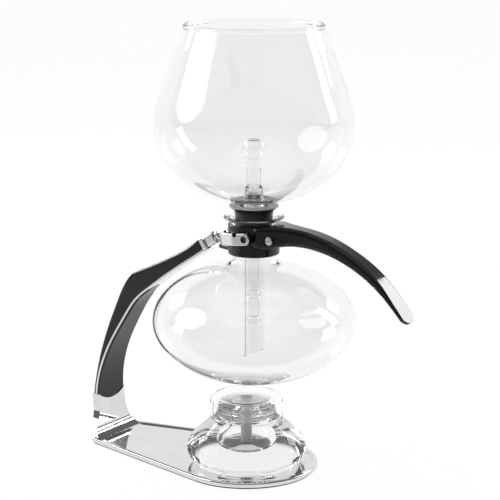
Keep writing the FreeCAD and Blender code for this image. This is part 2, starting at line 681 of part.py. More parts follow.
def funnel_bowl():
    """The funnel below its widest circle, down to the filter's ground seat."""
    bore = STEM_R - STEM_T
    feet = []
    walls = []
    for offset, foot_r in ((0, 14.0), (GLASS_T, 12.0)):
        a, b = FUNNEL_R - offset, FUNNEL_DEPTH - offset
        walls.append(ellipse_arc(a, b, FUNNEL_WIDE_Z, a, foot_r, False))
        feet.append(xz(foot_r, ellipse_z(a, b, FUNNEL_WIDE_Z, foot_r, False)))
    foot_out, foot_in = feet
    seat_top, seat_end = xz(7.9, 213.4), xz(bore, STEM_TOP_Z)
    throat = [bezier(foot_out, xz(STEM_R, foot_out.z - 0.8), xz(STEM_R, foot_out.z - 6)),
              line(xz(STEM_R, foot_out.z - 6), xz(STEM_R, STEM_TOP_Z)),
              line(xz(STEM_R, STEM_TOP_Z), seat_end),
              line(seat_end, seat_top),
              bezier(seat_top, xz(8.2, foot_in.z - 0.3), foot_in)]
    return lathe(walls + throat + [widest_edge()])


def funnel_stem():
    """The tube that reaches down into the decanter, cut off at a slant."""
    tube = ring(STEM_R - STEM_T, STEM_R, STEM_END_Z, STEM_TOP_Z)
    cut_end = box((-20, -20, STEM_END_Z - 10), (20, 20, STEM_END_Z + 4))
    cut_end.rotate(V(0, 0, STEM_END_Z), V(0, 1, 0), 25)
    return tube.cut(cut_end)


def bung():
    low, high = BUNG_Z
    bore = STEM_R + 0.02
    waist = bung_r(BUNG_WAIST_Z)
    outline = path([xz(bore, high), xz(bore, low), xz(bung_r(low), low), xz(waist, BUNG_WAIST_Z),
                    xz(waist, 207.4), xz(BUNG_LIP_R, 210.2), xz(BUNG_LIP_R, high), xz(bore, high)],
                   [0.2, 1.2, 3.0, 2.4, 0.4, 0.4])
    plug = lathe(outline)
    return plug.cut(Part.makeCone(STEM_R, STEM_R + 4, 4.5, V(0, 0, high - 4.4)))


def filter_rod():
    tail, bead, tip = 4.1, 5.2, 117.5
    ball_r = 9.35
    ball_z = 254.5
    shaft = 5.75
    shaft_top = ball_z - math.sqrt(ball_r ** 2 - shaft ** 2)
    flat_r = 5.2
    flat_z = ball_z + math.sqrt(ball_r ** 2 - flat_r ** 2)
    edges = [line(xz(0, flat_z), xz(flat_r, flat_z)),
             arc(xz(flat_r, flat_z), xz(ball_r, ball_z), xz(shaft, shaft_top)),
             line(xz(shaft, shaft_top), xz(shaft, 226)),
             bezier(xz(shaft, 226), xz(7.4, 224), xz(7.5, 215)),
             line(xz(7.5, 215), xz(5.9, 204)),
             bezier(xz(5.9, 204), xz(tail, 203), xz(tail, 198)),
             line(xz(tail, 198), xz(tail, 144)),
             arc(xz(tail, 144), xz(bead, 141), xz(tail, 138)),
             line(xz(tail, 138), xz(tail, tip + 6)),
             arc(xz(tail, tip + 6), xz(bead, tip + 3), xz(3.2, tip)),
             line(xz(3.2, tip), xz(0, tip)),
             line(xz(0, tip), xz(0, flat_z))]
    return lathe(edges)


# ---------------------------------------------------------------- burner

def burner_bottle():
    z = BOTTLE_Z
    foot = path([xz(0, z), xz(41.2, z), xz(41.2, z + 2.8), xz(BOTTLE_R - 1.2, z + 6.5),
                 xz(BOTTLE_R, z + 11)], [1.4, 1.0, 2.5])
    shoulder = bezier(xz(BOTTLE_R, z + 11), xz(BOTTLE_R, z + 21), xz(36, 31.5), xz(28.0, 39.2))
    neck = path([xz(28.0, 39.2), xz(25.2, 41.9), xz(21.6, 41.9), xz(21.6, 44.6), xz(23.6, 44.6),
                 xz(23.6, 47.6), xz(21.4, 47.6), xz(21.4, 49.4), xz(22.4, 49.4), xz(22.4, MOUTH_Z),
                 xz(MOUTH_R, MOUTH_Z)],
                [1.5, 0.5, 0.9, 0.9, 0.9, 0.6, 0.6, 0.4, 1.4])
    bell = path([xz(MOUTH_R, MOUTH_Z), xz(MOUTH_R, 33), xz(18.8, 24), xz(21.0, 16.5), xz(16, WELL_Z),
                 xz(0, WELL_Z)], [7.0, 5.0, 3.0, 3.0])
    return lathe(foot + [shoulder] + neck + bell + [line(xz(0, WELL_Z), xz(0, z))], BURNER_X)


def wick_holder():
    """A disc that covers the bottle's mouth, with a tube through it for the wick."""
    top = MOUTH_Z + 3.1
    outline = path([xz(4.9, 33), xz(5.5, 33), xz(5.5, MOUTH_Z), xz(12.3, MOUTH_Z), xz(12.3, MOUTH_Z + 1.3),
                    xz(5.6, MOUTH_Z + 1.3), xz(5.5, top), xz(4.9, top)],
                   [0.2, 0.3, 0.4, 0.5, 0.6, 0.2])
    return lathe(outline + [line(xz(4.9, top), xz(4.9, 33))], BURNER_X)


def wick():
    edges = path([xz(0, 15.5), xz(4.2, 15.5), xz(4.7, 30), xz(4.7, MOUTH_Z + 3.3), xz(0, MOUTH_Z + 3.5)],
                 [1.5, 20, 1.0])
    return lathe(edges + [line(xz(0, MOUTH_Z + 3.5), xz(0, 15.5))], BURNER_X)


def snuffer_cap():
    low, high = CAP_Z
    outer = path([xz(0, high), xz(CAP_R, high), xz(CAP_R, low), xz(CAP_R - 2.2, low)], [4.5, 0.8])
    inner = path([xz(CAP_R - 2.2, low), xz(CAP_R - 2.2, high - 1.8), xz(0, high - 1.8)], [3.2])
    return lathe(outer + inner + [line(xz(0, high - 1.8), xz(0, high))], BURNER_X)


PARTS = {
    "stand_base": stand_base, "base_pad": base_pad, "heel_pins": heel_pins,
    "arm_core": arm_core, "grip_outer": grip_outer, "grip_inner": grip_inner, "grip_screws": grip_screws,
    "arm_ferrule": arm_ferrule, "joint_block": joint_block, "yoke_washer": yoke_washer,
    "yoke": yoke, "yoke_screw": yoke_screw, "trunnion_studs": trunnion_studs,
    "bowl_base": bowl_base, "bowl_shoulder": bowl_shoulder, "bowl_neck": bowl_neck,
    "collar_liner": collar_liner, "collar_half": collar_half, "handle": handle,
    "clamp_screw": clamp_screw, "clamp_nut": clamp_nut,
    "funnel_cone": funnel_cone, "funnel_bowl": funnel_bowl, "funnel_stem": funnel_stem,
    "bung": bung, "filter_rod": filter_rod,
    "burner_bottle": burner_bottle, "wick_holder": wick_holder, "wick": wick, "snuffer_cap": snuffer_cap,
}

os.makedirs("parts", exist_ok=True)
for name, make in PARTS.items():
    export(name, make())
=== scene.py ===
"""Looks of the glass vacuum coffee brewer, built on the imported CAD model.

Metres. +Z is up the brewing axis, +X runs towards the decanter's handle.
"""
import json
import math

import bmesh
import bpy
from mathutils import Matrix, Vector, noise

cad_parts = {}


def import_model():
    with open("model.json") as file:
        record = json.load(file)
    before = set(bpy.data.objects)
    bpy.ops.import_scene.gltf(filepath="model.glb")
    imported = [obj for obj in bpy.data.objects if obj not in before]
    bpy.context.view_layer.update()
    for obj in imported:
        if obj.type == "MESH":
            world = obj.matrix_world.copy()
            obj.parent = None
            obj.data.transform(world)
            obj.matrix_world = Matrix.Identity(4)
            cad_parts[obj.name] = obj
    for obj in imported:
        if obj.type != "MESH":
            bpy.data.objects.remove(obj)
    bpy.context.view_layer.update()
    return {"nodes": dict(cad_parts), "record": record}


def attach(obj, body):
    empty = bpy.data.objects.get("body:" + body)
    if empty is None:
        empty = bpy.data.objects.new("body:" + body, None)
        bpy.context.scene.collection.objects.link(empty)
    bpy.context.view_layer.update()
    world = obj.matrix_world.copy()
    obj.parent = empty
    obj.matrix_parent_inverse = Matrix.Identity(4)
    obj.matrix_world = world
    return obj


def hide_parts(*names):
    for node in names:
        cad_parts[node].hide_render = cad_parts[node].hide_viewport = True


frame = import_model()
nodes = frame["nodes"]

MM = 0.001
TURNS = 160             # faces round a turned piece
CAMERA_AZIMUTH = 34.2   # degrees from -Y towards +X
PAINTED_LIGHT_FACE_Z = 0.2105    # metres; above this height the bung's top face is painted pale, painted light standing in for light through the funnel's glass

# ---------------------------------------------------------------- outlines


def bezier(poles, count=10):
    """Points on a Bezier curve, both ends included."""
    points = []
    for i in range(count + 1):
        t = i / count
        rest = [Vector(p) for p in poles]
        while len(rest) > 1:
            rest = [a.lerp(b, t) for a, b in zip(rest, rest[1:])]
        points.append(tuple(rest[0]))
    return points


def rounded(corners, radii, count=5):
    """Points of a polyline whose inner corners are rounded by the given radii."""
    points = [corners[0]]
    for before, corner, after, radius in zip(corners, corners[1:], corners[2:], radii):
        c = Vector(corner)
        to_start = (Vector(before) - c).normalized()
        to_end = (Vector(after) - c).normalized()
        half = to_start.angle(to_end) / 2
        reach = radius / math.tan(half)
        bisector = (to_start + to_end).normalized()
        centre = c + bisector * (radius / math.sin(half))
        first = c + to_start * reach - centre
        last = c + to_end * reach - centre
        for i in range(count + 1):
            ray = first.lerp(last, i / count).normalized() * radius
            points.append(tuple(centre + ray))
    points.append(corners[-1])
    return points


def ellipse(a, b, z, r_from, r_to, upper, count=24):
    """Points on a quarter ellipse about the axis, from one radius to another."""
    start, end = (math.acos(min(1.0, r / a)) for r in (r_from, r_to))
    sign = 1 if upper else -1
    steps = [start + (end - start) * i / count for i in range(count + 1)]
    return [(a * math.cos(t), z + sign * b * math.sin(t)) for t in steps]


def ellipse_z(a, b, z, r):
    """Height of the upper half of an ellipse at radius r."""
    return z + b * math.sqrt(1 - (r / a) ** 2)


def arc_points(centre, radius, start, end, count=12):
    """Points on a circle's arc between two angles in degrees."""
    steps = [math.radians(start + (end - start) * i / count) for i in range(count + 1)]
    return [(centre[0] + radius * math.cos(t), centre[1] + radius * math.sin(t)) for t in steps]


def joined(*runs):
    """One list of points from several runs, without doubled points."""
    points = []
    for run in runs:
        for point in run:
            if not points or math.dist(point, points[-1]) > 1e-4:
                points.append(point)
    return points


def tightened(outline, longest=6.0, margin=0.3):
    """Adds a point near both ends of each long straight run, so that its shading stays straight."""
    points = [outline[0]]
    for a, b in zip(outline, outline[1:]):
        length = math.dist(a, b)
        if length > longest:
            for reach in (margin, length - margin):
                share = reach / length
                points.append((a[0] + (b[0] - a[0]) * share, a[1] + (b[1] - a[1]) * share))
        points.append(b)
    return points


# ---------------------------------------------------------------- mesh helpers

def new_piece(name, mesh, body, slot, *replaced):
    piece = bpy.data.objects.new(name, mesh)
    bpy.context.scene.collection.objects.link(piece)
    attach(piece, body)
    if replaced:
        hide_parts(*replaced)
    return piece


def lathe(name, outline, centre_x=0.0, turns=TURNS, change=None):
    """Closed mesh turned from an outline of (radius, height) in millimetres.

    The outline runs round the section once. Where it starts and ends on the axis it is closed by
    the axis; elsewhere its last point joins its first. An outline that touches the axis midway
    goes on as a closed hollow inside. change(x, y, z, angle) may move a point.
    """
    mesh = bpy.data.meshes.new(name)
    bm = bmesh.new()
    rings = []
    for r, z in tightened(outline):
        count = 1 if r < 1e-4 else turns
        ring = []
        for i in range(count):
            angle = 2 * math.pi * i / turns
            x, y, height = r * math.cos(angle), r * math.sin(angle), z
            if change:
                x, y, height = change(x, y, height, angle)
            ring.append(bm.verts.new(((x + centre_x) * MM, y * MM, height * MM)))
        rings.append(ring)
    on_axis = len(rings[0]) == 1 and len(rings[-1]) == 1
    pairs = list(zip(rings, rings[1:]))
    if not on_axis:
        pairs.append((rings[-1], rings[0]))
    for a, b in pairs:
        for i in range(turns):
            j = (i + 1) % turns
            loop = [a[i % len(a)], a[j % len(a)], b[j % len(b)], b[i % len(b)]]
            corners = [v for k, v in enumerate(loop) if v not in loop[:k]]
            if len(corners) > 2:
                bm.faces.new(corners)
    if bm.calc_volume(signed=True) < 0:
        bmesh.ops.reverse_faces(bm, faces=bm.faces)
    for f in bm.faces:
        f.smooth = True
    bm.to_mesh(mesh)
    bm.free()
    return mesh


# ---------------------------------------------------------------- material helpers

class Shader:
    """A material with one Principled shader and short ways to add nodes to it."""

    def __init__(self, name, **values):
        self.material = bpy.data.materials.new(name)
        self.material.use_nodes = True
        self.tree = self.material.node_tree
        self.main = self.tree.nodes["Principled BSDF"]
        self.coords = self.tree.nodes.new("ShaderNodeTexCoord").outputs["Object"]
        for socket, value in values.items():
            self.main.inputs[socket.replace("_", " ")].default_value = value

    def link(self, value, socket):
        self.tree.links.new(value, self.main.inputs[socket])

    def node(self, kind, **settings):
        made = self.tree.nodes.new(kind)
        for name, value in settings.items():
            setattr(made, name, value)
        return made

    def mapped(self, scale):
        mapping = self.node("ShaderNodeMapping")
        mapping.inputs["Scale"].default_value = scale
        self.tree.links.new(self.coords, mapping.inputs["Vector"])
        return mapping.outputs["Vector"]

    def noise(self, scale, detail=3.0, rough=0.55, stretch=(1, 1, 1), warp=0.0):
        made = self.node("ShaderNodeTexNoise")
        made.inputs["Scale"].default_value = scale
        made.inputs["Detail"].default_value = detail
        made.inputs["Roughness"].default_value = rough
        made.inputs["Distortion"].default_value = warp
        self.tree.links.new(self.mapped(stretch), made.inputs["Vector"])
        return made.outputs["Fac"]

    def cells(self, scale):
        made = self.node("ShaderNodeTexVoronoi")
        made.inputs["Scale"].default_value = scale
        self.tree.links.new(self.coords, made.inputs["Vector"])
        return made.outputs["Distance"]

    def wave(self, scale, direction="Z", warp=0.0):
        made = self.node("ShaderNodeTexWave", bands_direction=direction)
        made.inputs["Scale"].default_value = scale
        made.inputs["Distortion"].default_value = warp
        self.tree.links.new(self.coords, made.inputs["Vector"])
        return made.outputs["Fac"]

    def remap(self, value, low, high, to_low, to_high):
        made = self.node("ShaderNodeMapRange", interpolation_type="SMOOTHSTEP")
        made.inputs["From Min"].default_value = low
        made.inputs["From Max"].default_value = high
        made.inputs["To Min"].default_value = to_low
        made.inputs["To Max"].default_value = to_high
        self.tree.links.new(value, made.inputs["Value"])
        return made.outputs["Result"]

    def math(self, operation, a, b):
        made = self.node("ShaderNodeMath", operation=operation)
        for socket, value in zip(made.inputs, (a, b)):
            if isinstance(value, (int, float)):
                socket.default_value = value
            else:
                self.tree.links.new(value, socket)
        return made.outputs["Value"]

    def height(self):
        """The height in metres, up the brewing axis."""
        split = self.node("ShaderNodeSeparateXYZ")
        self.tree.links.new(self.coords, split.inputs["Vector"])
        return split.outputs["Z"]

    def colours(self, value, *stops):
        ramp = self.node("ShaderNodeValToRGB")
        elements = ramp.color_ramp.elements
        while len(elements) < len(stops):
            elements.new(0.5)
        for element, (place, colour) in zip(elements, stops):
            element.position = place
            element.color = (*colour, 1)
        self.tree.links.new(value, ramp.inputs["Fac"])
        return ramp.outputs["Color"]

    def bump(self, height, strength, distance, under=None):
        made = self.node("ShaderNodeBump")
        made.inputs["Strength"].default_value = strength
        made.inputs["Distance"].default_value = distance
        self.tree.links.new(height, made.inputs["Height"])
        if under:
            self.tree.links.new(under, made.inputs["Normal"])
        return made.outputs["Normal"]


# ---------------------------------------------------------------- materials

def chrome():
    """Bright plate with faint smears, hairline scratches and dust."""
    s = Shader("chrome_plate", Metallic=1.0)
    smears = s.noise(45, 4, 0.6, warp=0.6)
    hairlines = s.noise(900, 2, 0.5, stretch=(0.06, 1, 1))
    s.link(s.colours(smears, (0.3, (0.66, 0.665, 0.67)), (0.7, (0.74, 0.742, 0.745))), "Base Color")
    soil = s.math("MULTIPLY", smears, s.remap(hairlines, 0.35, 0.75, 0.6, 1.4))
    s.link(s.remap(soil, 0.25, 0.95, 0.025, 0.15), "Roughness")
    s.link(s.bump(hairlines, 0.04, 0.00002), "Normal")
    return s.material


def steel():
    """Turned steel of the small screws and pins."""
    s = Shader("steel", Metallic=1.0)
    grain = s.noise(1500, 3, 0.6, stretch=(1, 0.1, 1))
    s.link(s.colours(grain, (0.3, (0.42, 0.43, 0.44)), (0.7, (0.58, 0.585, 0.59))), "Base Color")
    s.link(s.remap(grain, 0.3, 0.7, 0.22, 0.42), "Roughness")
    s.link(s.bump(grain, 0.2, 0.00005), "Normal")
    return s.material


def black_plastic():
    """Polished phenolic: deep gloss, fine orange peel, rubbed and dusty patches."""
    s = Shader("black_plastic")
    s.main.inputs["IOR"].default_value = 1.42
    rubbed = s.noise(38, 5, 0.6, warp=0.4)
    peel = s.noise(520, 2, 0.5)
    specks = s.cells(900)
    s.link(s.colours(rubbed, (0.25, (0.004, 0.004, 0.004)), (0.8, (0.010, 0.010, 0.010))), "Base Color")
    s.link(s.remap(rubbed, 0.3, 0.8, 0.05, 0.16), "Roughness")
    skin = s.bump(peel, 0.10, 0.00010)
    s.link(s.bump(specks, 0.03, 0.00003, skin), "Normal")
    return s.material


def blackened():
    """Black studs, worn at the tips."""
    s = Shader("black_stud")
    wear = s.noise(700, 4, 0.65)
    s.link(s.colours(wear, (0.3, (0.012, 0.012, 0.012)), (0.75, (0.04, 0.04, 0.04))), "Base Color")
    s.link(s.remap(wear, 0.3, 0.7, 0.3, 0.5), "Roughness")
    s.link(s.bump(wear, 0.2, 0.00005), "Normal")
    return s.material


def rubber(name, dark, light, low_rough, high_rough):
    """Moulded rubber with a fine tooth and a dull bloom."""
    s = Shader(name)
    bloom = s.noise(70, 4, 0.6)
    tooth = s.noise(1800, 3, 0.6)
    s.link(s.colours(bloom, (0.3, (dark,) * 3), (0.75, (light,) * 3)), "Base Color")
    s.link(s.remap(bloom, 0.3, 0.7, low_rough, high_rough), "Roughness")
    s.link(s.bump(tooth, 0.25, 0.00006), "Normal")
    return s.material


def bung_material():
    """Black rubber whose top face under the funnel is painted pale, painted light standing in for light
    through the funnel's glass; a fine tooth and a dull bloom.
    """
    s = Shader("bung_rubber")
    bloom = s.noise(70, 4, 0.6)
    tooth = s.noise(1800, 3, 0.6)
    edge = s.math("ADD", s.height(), s.remap(bloom, 0.3, 0.7, -0.0001, 0.0001))
    # painted light: above this height the top face is painted pale, in place of light coming through the
    # funnel's glass
    pale = s.remap(edge, PAINTED_LIGHT_FACE_Z - 0.0002, PAINTED_LIGHT_FACE_Z + 0.0002, 0.0, 1.0)
    # dark rubber tone, or the painted light of the top face where that is brighter
    rubber_and_painted_light = s.math("MAXIMUM", s.remap(bloom, 0.3, 0.75, 0.01, 0.03),
                   s.math("MULTIPLY", pale, s.remap(bloom, 0.3, 0.7, 0.8, 1.0)))
    s.link(s.colours(rubber_and_painted_light, (0.0, (0.002, 0.002, 0.002)), (1.0, (0.88, 0.88, 0.87))), "Base Color")
    s.link(s.remap(bloom, 0.3, 0.7, 0.32, 0.52), "Roughness")
    s.link(s.bump(tooth, 0.25, 0.00006), "Normal")
    return s.material


def thick_glass(s, density):
    """Light lost along its way through the wall, so that edges look darker than faces."""
    loss = s.node("ShaderNodeVolumeAbsorption")
    loss.inputs["Color"].default_value = (0.30, 0.33, 0.32, 1)
    loss.inputs["Density"].default_value = density
    out = s.tree.nodes["Material Output"]
    s.tree.links.new(loss.outputs["Volume"], out.inputs["Volume"])


def glass(name, ior, density, tone, ripple, ripple_scale, haze):
    """Clear glass with mould or draw ripples and a faint finger haze."""
    s = Shader(name)
    s.main.inputs["Transmission Weight"].default_value = 1.0
    s.main.inputs["IOR"].default_value = ior
    thick_glass(s, density)
    cloud = s.noise(18, 2, 0.5)
    s.link(s.colours(cloud, (0.2, (tone - 0.008,) * 3), (0.8, (tone + 0.006,) * 3)), "Base Color")
    film = s.noise(30, 5, 0.62, warp=0.8)
    s.link(s.remap(film, 0.52, 0.85, 0.0, haze), "Roughness")
    s.link(s.bump(s.noise(ripple_scale, 1.5, 0.4), ripple, 0.0004), "Normal")
    return s.material


def filter_glass():
    """Clear rod whose tapered seat is ground to a faint toothed frost."""
    s = Shader("filter_glass")
    s.main.inputs["Transmission Weight"].default_value = 1.0
    s.main.inputs["IOR"].default_value = 1.474
    z = s.height()
    above = s.remap(z, 0.2025, 0.2045, 0.0, 1.0)
    below = s.remap(z, 0.2395, 0.2415, 1.0, 0.0)
    ground = s.math("MULTIPLY", above, below)
    teeth = s.cells(520)
    film = s.noise(60, 4, 0.6)
    s.link(s.colours(film, (0.3, (0.985, 0.99, 0.99)), (0.7, (0.998, 0.998, 0.998))), "Base Color")
    frosted = s.math("MULTIPLY", ground, 0.10)
    s.link(s.math("ADD", frosted, s.remap(film, 0.5, 0.9, 0.0, 0.02)), "Roughness")
    s.link(s.bump(s.math("MULTIPLY", teeth, ground), 0.35, 0.0006), "Normal")
    return s.material


def wick_metal():
    """Pressed bright metal of the wick holder, with a little tarnish."""
    s = Shader("wick_metal", Metallic=0.55)
    tarnish = s.noise(160, 4, 0.6)
    rings = s.wave(900, "Z", 0.5)
    s.link(s.colours(tarnish, (0.3, (0.80, 0.79, 0.76)), (0.75, (0.93, 0.93, 0.91))), "Base Color")
    s.link(s.remap(tarnish, 0.3, 0.7, 0.3, 0.5), "Roughness")
    s.link(s.bump(rings, 0.15, 0.00004), "Normal")
    return s.material


def cotton():
    """Braided cotton cord, scorched grey at the tip."""
    s = Shader("wick_cotton")
    one = s.wave(520, "DIAGONAL", 1.2)
    other = s.wave(520, "X", 1.2)
    braid = s.math("MAXIMUM", one, other)
    fuzz = s.noise(2600, 3, 0.7)
    scorch = s.remap(s.height(), 0.0535, 0.0560, 0.0, 1.0)
    dirt = s.math("MULTIPLY", scorch, s.remap(fuzz, 0.3, 0.7, 0.5, 1.0))
    s.link(s.colours(dirt, (0.0, (0.90, 0.89, 0.86)), (0.5, (0.55, 0.53, 0.48)),
                     (1.0, (0.16, 0.14, 0.12))), "Base Color")
    s.link(s.remap(fuzz, 0.2, 0.8, 0.75, 0.95), "Roughness")
    weave = s.bump(braid, 0.8, 0.0004)
    s.link(s.bump(fuzz, 0.5, 0.0001, weave), "Normal")
    s.main.inputs["Sheen Weight"].default_value = 0.4
    return s.material


MATERIALS = {
    "chrome_plate": chrome(),
    "steel": steel(),
    "black_plastic": black_plastic(),
    "black_stud": blackened(),
    "pad_rubber": rubber("pad_rubber", 0.010, 0.022, 0.55, 0.75),
    "bung_rubber": bung_material(),
    "vessel_glass": glass("vessel_glass", 1.46, 6, 0.968, 0.05, 9, 0.02),
    "burner_glass": glass("burner_glass", 1.22, 2, 0.992, 0.25, 34, 0.04),
    "filter_glass": filter_glass(),
    "wick_metal": wick_metal(),
    "wick_cotton": cotton(),
}


def finish_with(piece, slot):
    piece.data.materials.clear()
    piece.data.materials.append(MATERIALS[slot])


# ---------------------------------------------------------------- glass vessels

# Millimetres and degrees, as in the CAD model.
GLASS_T = 2.0
LOOSE = 0.3             # gap between the neck and the bung

BOWL_A, BOWL_B, BOWL_Z = 78.9, 47.1, 120.0
NECK_R, NECK_TOP_Z = 17.2, 195.0
LIP_R, LIP_Z, LIP_EDGE_R = 23.4, 203.2, 0.9
THROAT_TOP_Z = 200.0
BEND_R = 25.0           # where the bowl starts to turn up into the neck

PLUG_LOW_Z, PLUG_LOW_R, PLUG_TAPER = 183.0, 13.9, 0.035

FUNNEL_R, FUNNEL_DEPTH, FUNNEL_WIDE_Z = 76.1, 58.0, 271.0
FUNNEL_ARC_R, FUNNEL_CONE = 74.0, 19.7
RIM_Z, RIM_BEAD_R = 350.0, 1.9
FOOT_OUT_R, FOOT_IN_R = 14.0, 12.0
STEM_R, STEM_T, STEM_END_Z = 8.0, 1.6, 89.0
STEM_CUT, STEM_CUT_H = 25.0, 12.0
BUNG_TOP_Z = 211.4

BALL_R, BALL_Z, BALL_FLAT_R = 9.35, 254.5, 5.2
SHAFT_R, TAIL_R, TAIL_TIP_Z = 5.75, 4.1, 117.5
SEAT_R, SEAT_LOW_R = 7.5, 5.9
BEAD_R, BEAD_Z = 3.4, 141.0
BEAD_IN = 2.3           # how far the beads' centres lie inside the tail's surface
FILTER_T = 0.9


def bung_r(z):
    """Radius of the tapered plug."""
    return PLUG_LOW_R + (z - PLUG_LOW_Z) * PLUG_TAPER


def neck_outline(offset, neck_r, top):
    """From the bowl's widest circle up into the neck, at an inward offset."""
    a, b, r = BOWL_A - offset, BOWL_B - offset, BEND_R
    z = ellipse_z(a, b, BOWL_Z, r)
    slope = (b / a) ** 2 * r / (z - BOWL_Z)
    bend = z + slope * (r - neck_r)
    return joined(ellipse(a, b, BOWL_Z, a, r, True, 40),
                  bezier([(r, z), (neck_r, bend), (neck_r, bend + 6)], 10), [(neck_r, top)])


def decanter_glass():
    """Lower vessel: a flattened bowl with a short neck and a flared lip, one blown piece."""
    outer = neck_outline(0, NECK_R, NECK_TOP_Z)
    throat = bung_r(PLUG_LOW_Z) + LOOSE
    inner = neck_outline(GLASS_T, throat, PLUG_LOW_Z)
    top = (bung_r(THROAT_TOP_Z) + LOOSE, THROAT_TOP_Z)
    edge_r = LIP_R - LIP_EDGE_R
    flare = bezier([(NECK_R, NECK_TOP_Z), (NECK_R, LIP_Z - 2.4), (edge_r, LIP_Z - 2 * LIP_EDGE_R)], 12)
    edge = arc_points((edge_r, LIP_Z - LIP_EDGE_R), LIP_EDGE_R, -90, 90, 8)
    mouth = bezier([(edge_r, LIP_Z), (top[0] + 1.2, LIP_Z - 0.2), top], 12)
    base_out = ellipse(BOWL_A, BOWL_B, BOWL_Z, 0, BOWL_A, False, 40)
    in_a, in_b = BOWL_A - GLASS_T, BOWL_B - GLASS_T
    base_in = ellipse(in_a, in_b, BOWL_Z, 0, in_a, False, 40)
    outline = joined(base_out, outer, flare, edge, mouth, inner[::-1], base_in[::-1])
    piece = new_piece("decanter_glass", lathe("decanter_glass", outline), "decanter", "vessel_glass",
                      "bowl_base", "bowl_shoulder", "bowl_neck")
    finish_with(piece, "vessel_glass")


def funnel_outline(offset, foot_r):
    """From the rim down the cone and the round lower part to the foot, at an inward offset."""
    a, b = FUNNEL_R - offset, FUNNEL_DEPTH - offset
    radius = FUNNEL_ARC_R - offset
    slant = math.radians(FUNNEL_CONE)
    bend = arc_points((a - radius, FUNNEL_WIDE_Z), radius, FUNNEL_CONE, 0, 14)
    join = bend[0]
    rim_z = RIM_Z - 1.2
    rim = (join[0] - math.tan(slant) * (rim_z - join[1]), rim_z)
    cone = [(rim[0] + (join[0] - rim[0]) * t, rim[1] + (join[1] - rim[1]) * t) for t in (0, 0.3, 0.6)]
    return joined(cone, bend, ellipse(a, b, FUNNEL_WIDE_Z, a, foot_r, False, 36))


def funnel_glass():
    """Upper vessel: rim bead, cone, round lower part and slant-cut stem, one blown piece."""
    outer, inner = funnel_outline(0, FOOT_OUT_R), funnel_outline(GLASS_T, FOOT_IN_R)
    bore = STEM_R - STEM_T
    foot_out, foot_in = outer[-1], inner[-1]
    bead = (outer[0][0] - 0.9, RIM_Z - 2.0)
    rim = arc_points(bead, RIM_BEAD_R, 205, -45, 18)
    throat_out = bezier([foot_out, (STEM_R, foot_out[1] - 0.8), (STEM_R, foot_out[1] - 6)], 10)
    throat_in = bezier([foot_in, (8.2, foot_in[1] - 0.3), (7.9, 213.4)], 8)
    cut_z = STEM_END_Z + STEM_CUT_H
    tip = [(STEM_R, 150), (STEM_R, cut_z), (STEM_R, STEM_END_Z + 0.5),
           (STEM_R - 0.5, STEM_END_Z), (bore + 0.4, STEM_END_Z), (bore, STEM_END_Z + 0.4),
           (bore, cut_z), (bore, 150), (bore, 205)]
    outline = joined(rim, outer[1:], throat_out, tip, throat_in[::-1], inner[:0:-1])

    def slanted_tip(x, y, z, angle):
        reach = max(0.0, 1 - (z - STEM_END_Z) / STEM_CUT_H)
        return x, y, z + reach * (x + STEM_R) * math.tan(math.radians(STEM_CUT))

    piece = new_piece("funnel_glass", lathe("funnel_glass", outline, change=slanted_tip), "funnel",
                      "vessel_glass", "funnel_cone", "funnel_bowl", "funnel_stem")
    finish_with(piece, "vessel_glass")


def filter_glass_rod():
    """Blown filter: a flat-topped ball on a shaft, both hollow, and a solid beaded tail."""
    top_angle = math.degrees(math.acos(BALL_FLAT_R / BALL_R))
    low_angle = -math.degrees(math.acos(SHAFT_R / BALL_R))
    ball = arc_points((0, BALL_Z), BALL_R, top_angle, low_angle, 24)
    seat = bezier([(SHAFT_R, 226), (SEAT_R - 0.1, 224), (SEAT_R, 215)], 8)
    neck = bezier([(SEAT_LOW_R, 204), (TAIL_R, 203), (TAIL_R, 198)], 8)
    bead_x = TAIL_R - BEAD_IN
    middle_bead = arc_points((bead_x, BEAD_Z), BEAD_R, 62, -62, 8)
    end_bead = arc_points((bead_x, TAIL_TIP_Z + 3), BEAD_R, 62, -60, 8)
    outside = joined([(0, ball[0][1] - 0.3), (BALL_FLAT_R - 0.6, ball[0][1])], ball,
                     [(SHAFT_R, 240), (SHAFT_R, 233)], seat, neck, [(TAIL_R, 170)],
                     middle_bead, [(TAIL_R, 132)], end_bead, [(2.6, TAIL_TIP_Z), (0, TAIL_TIP_Z)])
    bore = SHAFT_R - FILTER_T
    inside = arc_points((0, BALL_Z), BALL_R - FILTER_T, top_angle - 2, low_angle - 2, 24)
    hollow = joined([(0, inside[0][1])], inside, [(bore, 240), (bore, 224)],
                    bezier([(bore, 220), (bore, 216), (0, 215)], 8))
    piece = new_piece("filter_rod_glass", lathe("filter_rod_glass", outside + hollow[::-1], turns=96),
                      "filter", "filter_glass", "filter_rod")
    finish_with(piece, "filter_glass")


# ---------------------------------------------------------------- burner

BURNER_X = -7.0
BOTTLE_Z, BOTTLE_R = 4.2, 47.3
FOOT_R, SHOULDER_R, SHOULDER_Z = 41.2, 28.0, 39.2
RING_R, GROOVE_R = 23.6, 21.6
COLLAR_R, LIP_GROOVE_R = 22.4, 21.4
MOUTH_R, MOUTH_Z = 10.5, 52.5
WELL_R, WELL_Z = 21.0, 13.5
CAP_R, CAP_LOW, CAP_HIGH, CAP_T, CAP_TOP_T = 28.7, 40.9, 58.5, 2.2, 1.8
WICK_R, WICK_LOW_Z = 4.65, 15.5


def pressed(depth, scale):
    """Slight unevenness of pressed glass, the same on every run."""

    def change(x, y, z, angle):
        push = noise.noise(Vector((x, y, z)) * scale) * depth
        r = math.hypot(x, y)
        keep = 0.0 if r < 1 else 1 - push / r * min(1.0, r / 10)
        return (x * keep, y * keep, z) if r >= 1 else (x, y, z)

    return change


